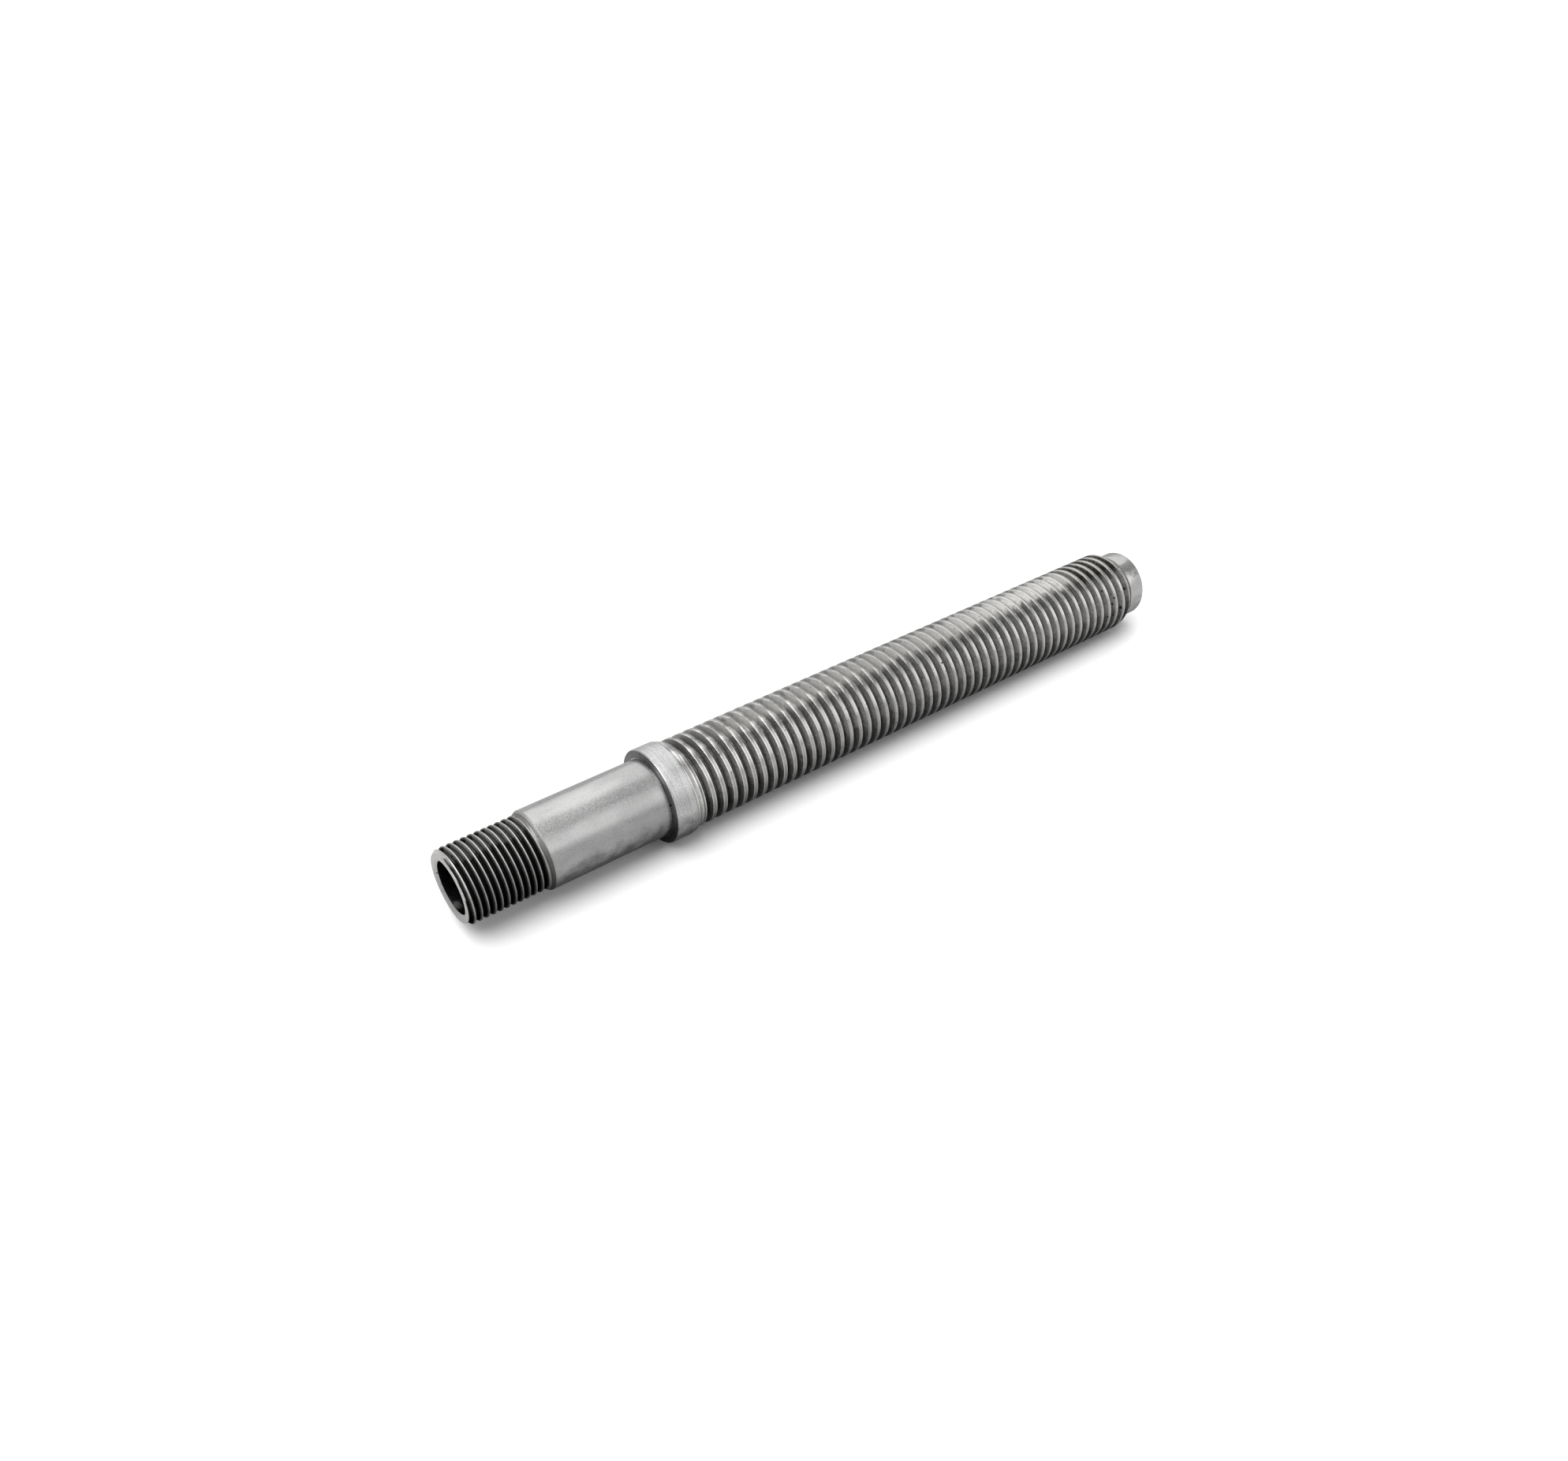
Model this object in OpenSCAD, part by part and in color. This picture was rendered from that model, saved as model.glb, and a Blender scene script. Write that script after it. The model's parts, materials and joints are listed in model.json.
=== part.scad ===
// Feed screw: one turned steel piece that lies on its side, axis along X.
// The origin is on the axis, in the collar face that a bearing on the journal seats against.
// -X is the hollow threaded nose, +X is the feed thread and the plain spigot at its end.

/* [Feed thread] */
// Outside diameter of the feed thread
feed_d = 19.05; // [18.6:0.05:20]
// Advance of the feed thread in one turn
feed_pitch = 2.54; // [2.2:0.02:3]
// Depth of the groove, measured on the radius
feed_depth = 1.52; // [0.8:0.02:1.55]
// Width of the flat crest
feed_crest_w = 0.95; // [0.6:0.05:1.1]
// Slope of each flank from square to the axis, in degrees
feed_flank = 14.5; // [5:0.5:20]
// Length of the threaded stretch, from the collar to the foot of the end chamfer
feed_len = 131.15; // [80:0.5:200]
// Slope of the chamfer at the free end of the thread, in degrees
feed_end_slope = 30; // [25:1:45]
// Where the groove begins to deepen, in turns past the top of the run-out beside the collar
groove_start = 0.34; // [0.2:0.02:0.5]
// Share of a turn over which the groove reaches its full depth
groove_run_in = 0.4; // [0.1:0.05:0.6]

/* [Collar] */
// Diameter of the collar
collar_d = 20.5; // [20.4:0.1:26]
// Width of the collar's straight rim
collar_w = 4.6; // [2:0.1:10]
// Bevel on the collar's journal side
collar_bevel = 0.3; // [0.1:0.05:0.4]
// Small step down from the rim to the sloping run-out beside it
run_out_step = 0.1; // [0.05:0.05:0.2]
// Length of the sloping run-out between the collar and the thread
run_out_len = 2; // [1:0.1:3]

/* [Journal] */
// Diameter of the ground bearing seat
journal_d = 16.8; // [16.2:0.1:18]
// Length of the seat, from the collar to its outer bevel
journal_len = 26.4; // [12:0.2:60]
// Length of the bevel between the seat and the nose
journal_bevel = 0.9; // [0.5:0.1:2]

/* [Nose] */
// Outside diameter of the nose thread
nose_d = 15.7; // [15.4:0.05:15.9]
// Advance of the nose thread in one turn
nose_pitch = 1.411; // [1.2:0.001:1.6]
// Depth of the nose thread, measured on the radius
nose_depth = 0.85; // [0.5:0.05:0.9]
// Width of the nose thread's crest
nose_crest_w = 0.18; // [0.1:0.02:0.3]
// Slope of each nose flank from square to the axis, in degrees
nose_flank = 30; // [25:0.5:32]
// Length of the nose, from its face to the journal's bevel
nose_len = 16.7; // [10:0.1:30]
// Bevel round the nose's face, measured on the radius
nose_bevel = 0.65; // [0.3:0.05:0.8]

/* [Bore] */
// Diameter of the blind bore in the nose
bore_d = 11.1; // [6:0.1:11.6]
// Depth of the bore, which ends flat
bore_depth = 40; // [10:1:60]

/* [Spigot] */
// Diameter of the plain end journal
spigot_d = 15.875; // [15.2:0.025:15.9]
// Length of the spigot beyond the foot of the thread's chamfer
spigot_len = 4.4; // [2:0.1:30]
// Bevel on the spigot's end edge
spigot_bevel = 0.3; // [0.1:0.05:0.6]

/* [Hidden] */
$fn = 96;

feed_sides = 22;    // flat sides round the feed thread
nose_sides = 20;    // flat sides round the nose thread
seat = 0.44;        // how far each thread's body is let into its neighbour
feed_top = 90;      // angle round the axis at which the feed thread's count of turns begins
nose_top = 248;     // the same for the nose thread
shy = 0.2;          // how much smaller it is there, so that the neighbour covers it

journal_x = -journal_len;
shoulder_x = journal_x - journal_bevel;
nose_x = shoulder_x - nose_len;
run_out_x = collar_w + run_out_len;
foot_x = collar_w + feed_len;
spigot_end_x = foot_x + spigot_len;
chamfer_len = (feed_d - spigot_d) / 2 / tan(feed_end_slope);
shoulder_d = nose_d - 0.1;

// Radius at x of a line from (x0, r0) to (x1, r1), level outside that stretch.
function slope_r(x, x0, r0, x1, r1) =
    x <= x0 ? r0 : x >= x1 ? r1 : r0 + (r1 - r0) * (x - x0) / (x1 - x0);

// Radius of the feed thread's blank: the run-out, the straight land and the end chamfer.
function feed_blank(x) = x < (run_out_x + foot_x) / 2
    ? slope_r(x, collar_w, collar_d / 2 - run_out_step, run_out_x, feed_d / 2)
    : slope_r(x, foot_x - chamfer_len, feed_d / 2, foot_x, spigot_d / 2 - shy);

// Radius of the nose thread's blank: the bevelled face, the land and the foot of the shoulder.
function nose_blank(x) = x < shoulder_x - seat / 2
    ? slope_r(x, nose_x, nose_d / 2 - nose_bevel, nose_x + nose_bevel, nose_d / 2)
    : shoulder_d / 2 - shy;

// A groove's four helical edges, as shares of a turn: mouth, floor, floor, mouth.
function groove_edges(pitch, crest_w, depth, flank) =
    let (mouth = (pitch - crest_w) / 2, floor_half = mouth - depth * tan(flank))
    [for (w = [-mouth, -floor_half, floor_half, mouth]) 0.5 + w / pitch];

// A right-hand threaded bar from x0, as one closed shell of helical strips.
// Point (row, side) lies on helical edge number row, on the side's ray; one turn of a row
// leads into the row four further on. The bar is a whole number of turns long and ends flat.
// The grooves go down from the blank to floor_r, and bite(w) is the share of that depth which
// is cut w turns after the start.
module threaded_bar(x0, turns, pitch, edges, floor_r, start_angle, sides, blank, bite) {
    last = 4 * (turns - 1);
    share = function(row) edges[row % 4] + floor(row / 4);
    row_x = function(row, side) x0 + pitch * (share(row) - edges[0] + side / sides);
    cut = function(row, side, r) (row % 4 == 1 || row % 4 == 2)
        ? max(0, r - floor_r) * bite(floor(row / 4) + side / sides) : 0;
    ray = function(x, r, side) let (a = start_angle + 360 * side / sides) [x, r * cos(a), r * sin(a)];
    grid_point = function(row, side)
        let (x = row_x(row, side), r = blank(x)) ray(x, r - cut(row, side, r), side);
    x1 = x0 + pitch * turns;

    // First the whole grid, side by side; then the rows that only side 0 has; then both flat rims.
    grid = [for (row = [0:last], side = [0:sides - 1]) grid_point(row, side)];
    tail = [for (row = [last + 1:last + 4]) grid_point(row, 0)];
    rim0 = [for (side = [1:sides - 1]) ray(x0, blank(x0), side)];
    rim1 = [for (side = [1:sides - 1]) ray(x1, blank(x1), side)];

    tail_at = (last + 1) * sides;
    rim0_at = tail_at + 4;
    rim1_at = rim0_at + sides - 1;
    at = function(row, side) side == sides
        ? (row + 4 > last ? tail_at + row + 3 - last : (row + 4) * sides)
        : row > last ? tail_at + row - last - 1 : row * sides + side;
    start = function(side) side % sides == 0 ? at(0, 0) : rim0_at + side - 1;
    end = function(side) side % sides == 0 ? at(last + 4, 0) : rim1_at + side - 1;

    strips = [for (row = [0:last - 1], side = [0:sides - 1]) each
        [[at(row, side), at(row + 1, side), at(row + 1, side + 1)],
         [at(row, side), at(row + 1, side + 1), at(row, side + 1)]]];
    start_band = concat(
        [for (side = [0:sides - 2]) each side == 0
            ? [[start(0), at(0, 1), start(1)]]
            : [[start(side), at(0, side), at(0, side + 1)], [start(side), at(0, side + 1), start(side + 1)]]],
        [[start(sides - 1), at(0, sides - 1), at(4, 0)]],
        [for (row = [3:-1:0]) [start(sides - 1), at(row + 1, 0), at(row, 0)]]);
    end_band = concat(
        [for (row = [last:last + 3]) [at(last, 1), at(row, 0), at(row + 1, 0)]],
        [[at(last, 1), end(0), end(1)]],
        [for (side = [1:sides - 2]) each
            [[at(last, side), end(side), end(side + 1)],
             [at(last, side), end(side + 1), at(last, side + 1)]]],
        [[at(last, sides - 1), end(sides - 1), end(0)]]);
    caps = [[for (side = [0:sides - 1]) start(side)], [for (side = [sides - 1:-1:0]) end(side)]];
    polyhedron(concat(grid, tail, rim0, rim1), concat(strips, start_band, end_band, caps));
}

// A solid turned round the X axis from its outline, given as points [x, radius].
module turned(outline) {
    rotate([0, 90, 0]) rotate_extrude() polygon([for (p = outline) [p[1], p[0]]]);
}

module feed_thread() {
    x0 = collar_w - seat;
    edges = groove_edges(feed_pitch, feed_crest_w, feed_depth, feed_flank);
    turns = ceil((foot_x + seat / 2 - x0) / feed_pitch);
    run_in = function(w) min(1, max(0, (w - groove_start) / groove_run_in));
    color("#9b9c9c")
        threaded_bar(x0, turns, feed_pitch, edges, feed_d / 2 - feed_depth,
            feed_top + 180 / feed_sides, feed_sides, function(x) feed_blank(x), run_in);
}

module nose_thread() {
    edges = groove_edges(nose_pitch, nose_crest_w, nose_depth, nose_flank);
    turns = ceil((nose_len + seat / 4) / nose_pitch);
    run_out = function(w) min(1, max(0, (turns - 0.6 - w) / 0.4));
    color("#6f7070")
        threaded_bar(nose_x, turns, nose_pitch, edges, nose_d / 2 - nose_depth,
            nose_top, nose_sides, function(x) nose_blank(x), run_out);
}

module journal() {
    color("#b4b5b6")
        turned([[shoulder_x, 0], [shoulder_x, shoulder_d / 2], [journal_x, journal_d / 2],
                [seat, journal_d / 2], [seat, 0]]);
}

module collar() {
    color("#c9cacb")
        turned([[0, 0], [0, collar_d / 2 - collar_bevel], [collar_bevel, collar_d / 2],
                [collar_w, collar_d / 2], [collar_w, 0]]);
}

module spigot() {
    color("#c4c5c6")
        turned([[foot_x, 0], [foot_x, spigot_d / 2],
                [spigot_end_x - spigot_bevel, spigot_d / 2],
                [spigot_end_x, spigot_d / 2 - spigot_bevel], [spigot_end_x, 0]]);
}

module bore() {
    color("#3c3c3a")
        turned([[nose_x - 1, 0], [nose_x - 1, bore_d / 2],
                [nose_x + bore_depth, bore_d / 2], [nose_x + bore_depth, 0]]);
}

module feed_screw() {
    difference() {
        union() {
            nose_thread();
            journal();
            collar();
            feed_thread();
            spigot();
        }
        bore();
    }
}

feed_screw();
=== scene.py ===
"""A turned steel feed screw: hollow threaded nose, ground journal, collar, feed thread and spigot.

The screw lies on its side with its axis along X. Every piece is a surface of two parameters:
one runs round the axis and the other along the piece's outline.
"""

import json
import math

import bpy
import numpy as np
from bpy.props import FloatProperty, FloatVectorProperty, PointerProperty
from bpy.types import Operator, Panel, PropertyGroup
from mathutils import Matrix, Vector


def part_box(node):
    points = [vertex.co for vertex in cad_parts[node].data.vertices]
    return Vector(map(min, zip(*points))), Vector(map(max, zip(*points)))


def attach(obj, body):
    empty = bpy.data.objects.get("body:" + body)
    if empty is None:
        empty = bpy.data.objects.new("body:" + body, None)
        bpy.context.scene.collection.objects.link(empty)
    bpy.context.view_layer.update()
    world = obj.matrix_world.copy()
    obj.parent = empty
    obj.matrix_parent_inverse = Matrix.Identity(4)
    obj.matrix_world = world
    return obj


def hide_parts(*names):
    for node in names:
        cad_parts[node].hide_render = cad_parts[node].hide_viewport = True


bl_info = {
    "name": "Feed screw",
    "version": (1, 0, 0),
    "blender": (4, 5, 0),
    "location": "View3D > Sidebar > Feed screw",
    "description": "Builds a turned steel feed screw piece by piece",
    "category": "Add Mesh",
}

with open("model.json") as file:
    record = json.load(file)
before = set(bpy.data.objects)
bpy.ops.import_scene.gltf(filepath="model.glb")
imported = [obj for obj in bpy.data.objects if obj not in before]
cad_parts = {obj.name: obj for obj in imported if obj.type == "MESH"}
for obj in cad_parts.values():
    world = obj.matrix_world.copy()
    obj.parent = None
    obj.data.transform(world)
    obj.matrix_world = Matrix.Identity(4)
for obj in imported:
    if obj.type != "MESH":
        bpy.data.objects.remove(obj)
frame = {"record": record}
NODE = "feed_screw"
LOW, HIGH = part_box(NODE)
MOUNTS = {mount["name"]: mount for mount in frame["record"]["mounts"]}

PLAIN_RAYS = 96  # points round a plain piece
THREAD_RAYS = 72  # points round a threaded one
SHARP_FROM = math.radians(38)  # faces that meet at more than this have a sharp edge
MM = 0.001


def mount_size(name, size):
    """A mount's radius or length from the record, in metres."""
    return MOUNTS[name]["dims"][size] * MM


def length(name, description, default, low=0.0, high=1.0):
    return FloatProperty(
        name=name, description=description, default=default,
        min=low, max=high, unit="LENGTH", precision=5,
    )


def colour(name, description, default):
    return FloatVectorProperty(
        name=name, description=description, default=default, min=0.0, max=1.0, size=3, subtype="COLOR"
    )


def amount(name, description, default):
    return FloatProperty(
        name=name, description=description, default=default, min=0.0, max=1.0, subtype="FACTOR"
    )


def turns(name, description, default):
    return FloatProperty(name=name, description=description, default=default)


def brightness(name, description, default):
    return FloatProperty(name=name, description=description, default=default, min=0.0)


def angle(name, description, degrees):
    turn = math.radians(degrees)
    return FloatProperty(name=name, description=description, default=turn, subtype="ANGLE")


# ---------------------------------------------------------------- sizes and colours


class NoseSizes(PropertyGroup):
    """The hollow threaded nose."""

    crest_radius: length("Crest radius", "Radius over the nose thread's crests", 0.00785)
    face_radius: length("Face radius", "Outer radius of the flat ring on the nose's end", 0.0072)
    bevel: length("Bevel", "Length of the bevel behind the end face", 0.00075)
    pitch: length("Pitch", "Advance of the thread in one turn", 0.001411)
    depth: length("Depth", "Depth of the thread's groove", 0.00085)
    crest_width: length("Crest width", "Width of the thread's crest", 0.00018)
    crest_edge: length("Crest edge", "Radius of the crest's rounded edges", 0.00004)
    fillet: length("Fillet", "Radius of the fillets along the groove's floor", 0.00008)
    flank: angle("Flank", "Slope of each flank from square to the axis", 30)
    origin: length("Origin", "Where the first crest's middle is at the start angle", -0.04409, -1.0)
    start_angle: angle("Start angle", "Angle round the axis at which the count of turns begins", 248)
    bore_radius: length("Bore radius", "Radius of the blind bore", mount_size("nose_bore", "r_mm"))
    bore_depth: length("Bore depth", "Depth of the blind bore", mount_size("nose_bore", "length_mm"))
    lip: length("Countersink", "Width of the countersink at the bore's mouth", 0.0004)
    shoulder: length("Shoulder", "Length of the bevel that leads up to the journal", 0.0009)
    colour: colour("Steel", "Colour of the nose's face and crests", (0.585, 0.58, 0.57))


class JournalSizes(PropertyGroup):
    """The ground bearing seat."""

    radius: length("Radius", "Radius of the seat", mount_size("journal", "r_mm"))
    length: length("Length", "Length of the seat", mount_size("journal", "length_mm"))
    relief_width: length("Relief width", "Width of the fine relief cut beside the collar", 0.00022)
    relief_depth: length("Relief depth", "Depth of that relief cut", 0.00012)
    colour: colour("Steel", "Colour of the ground steel", (0.52, 0.52, 0.517))


class CollarSizes(PropertyGroup):
    """The collar."""

    radius: length("Radius", "Radius of the rim", HIGH.z)
    width: length("Width", "Width of the straight rim", 0.0046)
    edge: length("Edge", "Radius of the rim's rounded edge towards the journal", 0.0003)
    far_edge: length("Far edge", "Radius of the rim's edge towards the feed thread", 0.00006)
    colour: colour("Steel", "Colour of the collar", (0.62, 0.62, 0.622))


class FeedSizes(PropertyGroup):
    """The feed thread."""

    crest_radius: length("Crest radius", "Radius over the crests", 0.009525)
    pitch: length("Pitch", "Advance of the thread in one turn", 0.00254)
    depth: length("Depth", "Depth of the groove", 0.00152)
    crest_width: length("Crest width", "Width of the flat crest", 0.00095)
    crest_edge: length("Crest edge", "Radius of the crest's rounded edges", 0.00006)
    fillet: length("Fillet", "Radius of the fillets along the groove's floor", 0.00012)
    flank: angle("Flank", "Slope of each flank from square to the axis", 14.5)
    origin: length("Origin", "Where the first crest's middle is at the start angle", 0.003628)
    start_angle: angle("Start angle", "Angle round the axis at which the count of turns begins", 90)
    run_in_start: turns("Groove start", "Turns from the start at which the groove begins", 0.34)
    run_in: turns("Run-in", "Turns over which the groove reaches full depth", 0.4)
    run_out: length("Run-out", "Length of the slope between the collar's rim and the crests", 0.00247)
    end_x: length("End", "Where the end bevel meets the spigot", 0.13575)
    end_bevel: length("End bevel", "Length of the bevel at the free end", 0.00275)
    foot_step: length("Foot step", "How far the bevel's foot lies below the spigot", 0.0002)
    colour: colour("Steel", "Colour of the crests", (0.68, 0.674, 0.66))


class SpigotSizes(PropertyGroup):
    """The plain end journal."""

    radius: length("Radius", "Radius of the spigot", mount_size("spigot", "r_mm"))
    edge: length("Edge break", "Bevel on the end edge", 0.0003)
    colour: colour("Steel", "Colour of the spigot", (0.80, 0.795, 0.785))


class StageLook(PropertyGroup):
    """The floor, the lamps and the camera."""

    floor_size: length("Floor size", "Half the width of the floor", 6.0, high=20.0)
    floor_colour: colour("Floor", "Colour of the floor", (0.97, 0.97, 0.97))
    floor_dim: amount("Floor in reflections", "Brightness of the floor in the steel's reflections", 0.5)
    key: brightness("Key", "Brightness of the soft light behind", 0.8)
    fill: brightness("Fill", "Brightness of the soft light in front", 0.62)
    overhead: brightness("Overhead", "Brightness of the light overhead", 3.9)
    surround: brightness("Surround", "Brightness of the light from all round", 0.54)


GROUPS = {
    "nose": NoseSizes,
    "journal": JournalSizes,
    "collar": CollarSizes,
    "feed": FeedSizes,
    "spigot": SpigotSizes,
    "stage": StageLook,
}


class FeedScrewSettings(PropertyGroup):
    """All sizes and colours of the feed screw."""

    nose: PointerProperty(type=NoseSizes, name="Nose", description="Sizes of the threaded nose")
    journal: PointerProperty(type=JournalSizes, name="Journal", description="Sizes of the bearing seat")
    collar: PointerProperty(type=CollarSizes, name="Collar", description="Sizes of the collar")
    feed: PointerProperty(type=FeedSizes, name="Feed thread", description="Sizes of the feed thread")
    spigot: PointerProperty(type=SpigotSizes, name="Spigot", description="Sizes of the spigot")
    stage: PointerProperty(type=StageLook, name="Stage", description="Floor and lamps")


# ---------------------------------------------------------------- surfaces


def grid_mesh(name, points, masks=None):
    """A mesh from a grid of points, rows by columns. Each cell is split in two triangles, corners
    that fall together are joined, and triangles that collapse go. masks are named grids of numbers
    which become attributes of the points."""
    rows, cols = points.shape[:2]
    flat = points.reshape(-1, 3)
    together = np.round(flat * 1e8).astype(np.int64)
    _, first, back = np.unique(together, axis=0, return_index=True, return_inverse=True)
    back = back.reshape(rows, cols)
    a, b = back[:-1, :-1], back[:-1, 1:]
    c, d = back[1:, 1:], back[1:, :-1]
    halves = [np.stack([a, b, c], -1), np.stack([a, c, d], -1)]
    faces = np.concatenate([half.reshape(-1, 3) for half in halves])
    keep = (faces != np.roll(faces, 1, axis=1)).all(axis=1)
    faces = faces[keep]
    mesh = bpy.data.meshes.new(name)
    mesh.vertices.add(len(first))
    mesh.vertices.foreach_set("co", flat[first].astype(np.float32).ravel())
    mesh.loops.add(faces.size)
    mesh.loops.foreach_set("vertex_index", faces.astype(np.int32).ravel())
    mesh.polygons.add(len(faces))
    mesh.polygons.foreach_set("loop_start", np.arange(0, faces.size, 3, dtype=np.int32))
    mesh.update(calc_edges=True)
    if mesh.validate():
        raise RuntimeError(f"{name}: the grid gave bad faces")
    for key, values in (masks or {}).items():
        layer = mesh.attributes.new(key, "FLOAT", "POINT")
        layer.data.foreach_set("value", np.asarray(values, np.float32).reshape(-1)[first])
    mesh.shade_smooth()
    mesh.set_sharp_from_angle(angle=SHARP_FROM)
    obj = bpy.data.objects.new(name, mesh)
    bpy.context.scene.collection.objects.link(obj)
    return obj


def tones(outline, stops):
    """A grid of tones for a turned surface. Each outline point takes the tone of the nearest of
    the stops, which are (x, radius, tone)."""
    points, marks = np.asarray(outline, float), np.asarray(stops, float)
    gap = np.linalg.norm(points[:, None] - marks[None, :, :2], axis=2)
    return np.repeat(marks[gap.argmin(1), 2][:, None], PLAIN_RAYS + 1, 1)


def turned_grid(outline, rays=PLAIN_RAYS, start_angle=0.0):
    """A surface of revolution: point (i, j) is the outline's i-th (x, radius), turned about X to
    the start angle plus j / rays of a turn. The outline runs towards +X on the outside of the
    steel."""
    x, r = np.asarray(outline, float).T
    ray = np.arange(rays + 1) / rays
    around = start_angle + 2 * math.pi * np.where(ray == 1, 0.0, ray)
    xs = np.repeat(x[:, None], rays + 1, 1)
    return np.stack([xs, r[:, None] * np.cos(around), r[:, None] * np.sin(around)], -1)


def rounded(corners, radii, steps=3):
    """A polyline whose corners become arcs. At each corner both legs are cut back by
    radius times the tangent of half the turn, and an arc of steps + 1 points joins them."""
    corners = np.asarray(corners, float)
    before, after = np.diff(corners[:-1], axis=0), np.diff(corners[1:], axis=0)
    before /= np.linalg.norm(before, axis=1, keepdims=True)
    after /= np.linalg.norm(after, axis=1, keepdims=True)
    turn = np.arctan2(before[:, 0] * after[:, 1] - before[:, 1] * after[:, 0], (before * after).sum(1))
    radii = np.asarray(radii, float)
    back = radii * np.abs(np.tan(turn / 2))
    start = corners[1:-1] - back[:, None] * before
    side = np.stack([-before[:, 1], before[:, 0]], -1) * np.sign(turn)[:, None]
    centre = start + side * radii[:, None]
    sweep = turn[:, None] * np.linspace(0, 1, steps + 1)
    ray = start - centre
    arc = np.stack(
        [
            centre[:, :1] + ray[:, :1] * np.cos(sweep) - ray[:, 1:] * np.sin(sweep),
            centre[:, 1:] + ray[:, :1] * np.sin(sweep) + ray[:, 1:] * np.cos(sweep),
        ],
        -1,
    )
    return np.concatenate([corners[:1], arc.reshape(-1, 2), corners[-1:]])


def groove_profile(form):
    """One pitch of a symmetrical groove, from crest middle to crest middle, as two arrays: share of
    the pitch and depth of the cutting tool below the crest. The tool has rounded corners at the
    crest and fillets at the floor, and past the crest its flanks go on outwards, so that depth is
    negative there."""
    half_crest = form.crest_width / 2
    foot = half_crest + form.depth * math.tan(form.flank)
    half = np.array([(0.0, 0.0), (half_crest, 0.0), (foot, form.depth)])
    mirrored = np.array([form.pitch, 0.0]) + half[::-1] * np.array([-1.0, 1.0])
    radii = [form.crest_edge, form.fillet, form.fillet, form.crest_edge]
    line = rounded(np.concatenate([half, mirrored]), radii)
    edge = line[1, 0]
    extra = edge * np.array([0.4, 0.75])
    share = np.concatenate([line[:, 0], extra, form.pitch - extra])
    depth = np.concatenate([line[:, 1], np.zeros(4)])
    order = np.argsort(share)
    share, depth = share[order], depth[order]
    # inside the crest's flat the flanks' lines go on
    inward = np.maximum(0.0, edge - np.minimum(share, form.pitch - share))
    return share / form.pitch, depth - inward / math.tan(form.flank)


def screw_grid(form, blank, bite, from_crest=False):
    """A right-hand screw surface. Profile point j of turn k meets ray i at
    x = origin + pitch (k + share j + i / rays), held between the blank's ends, and at the start
    angle plus i / rays of a turn. Its radius is the blank's, or the tool's where that is less: the
    crest radius less the tool's depth at x, lifted clear of the blank where the bite is 0 and not
    at all where it is 1. blank lists (x, radius), and bite lists (turns since the start, bite), both
    joined by straight lines. Both ends are closed by rows that run in to the axis.
    With it come two masks. groove is the depth from 0 to 1, counted from the blank, or with
    from_crest from the crest wherever the tool cuts. across runs over each crest from -1 on its -X
    edge to 1 on its +X edge, and back over the groove."""
    share, depth = groove_profile(form)
    blank_x, blank_radius = np.transpose(blank)
    start, end = blank_x[0], blank_x[-1]
    first = math.floor((start - form.origin) / form.pitch) - 2
    last = math.ceil((end - form.origin) / form.pitch) + 1
    row = np.add.outer(np.arange(first, last), share[:-1]).ravel()
    ray = np.arange(THREAD_RAYS + 1) / THREAD_RAYS
    x = np.clip(form.origin + form.pitch * (row[:, None] + ray), start, end)
    place = (x - form.origin) / form.pitch - ray
    turn = np.floor(place)
    land = np.interp(x, blank_x, blank_radius)
    clear = form.depth + max(0.0, land.max() - form.crest_radius)
    lift = clear * (1 - np.interp(turn + ray, *np.transpose(bite)))
    tool = form.crest_radius - np.interp(place - turn, share, depth) + lift
    r = np.minimum(land, tool)
    top = np.minimum(land, form.crest_radius)
    if from_crest:
        top = np.where(tool < land, form.crest_radius, r)
    across = (np.mod(place + 0.5, 1) - 0.5) * form.pitch / (form.crest_width / 2)
    masks = {"groove": np.clip((top - r) / form.depth, 0, 1), "across": np.clip(across, -1, 1)}
    nothing = np.zeros((1, THREAD_RAYS + 1))
    x = np.concatenate([nothing + start, x, nothing + end])
    r = np.concatenate([nothing, r, nothing])
    masks = {key: np.concatenate([nothing, values, nothing]) for key, values in masks.items()}
    around = form.start_angle + 2 * math.pi * np.where(ray == 1, 0.0, ray)
    return np.stack([x, r * np.cos(around), r * np.sin(around)], -1), masks


# ---------------------------------------------------------------- steel

BUMP_HEIGHT = 0.04 * MM
WHITE = (1.0, 1.0, 1.0, 1.0)
PIT_COLOUR = (0.01, 0.01, 0.009, 1.0)
FLECK_COLOUR = (0.02, 0.02, 0.018, 1.0)
OIL_COLOUR = (0.036, 0.032, 0.02, 1.0)
NEAR_AXIS = 0.1 * MM  # no division by a distance from the axis that is less
# noise features to a metre
GRAIN_SCALE = 4200.0
FLECK_SCALE = 1500.0
MOTTLE_SCALE = 1600.0
PIT_SCALE = 2600.0
BORDER_SCALE = 420.0


def node_group(name, inputs, outputs):
    """An empty shader group of numbers: inputs gives the default of each, and outputs the names."""
    tree = bpy.data.node_groups.new(name, "ShaderNodeTree")
    for key, default in inputs.items():
        socket = tree.interface.new_socket(name=key, in_out="INPUT", socket_type="NodeSocketFloat")
        socket.default_value = default
    for key in outputs:
        tree.interface.new_socket(name=key, in_out="OUTPUT", socket_type="NodeSocketFloat")
    return tree


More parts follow.
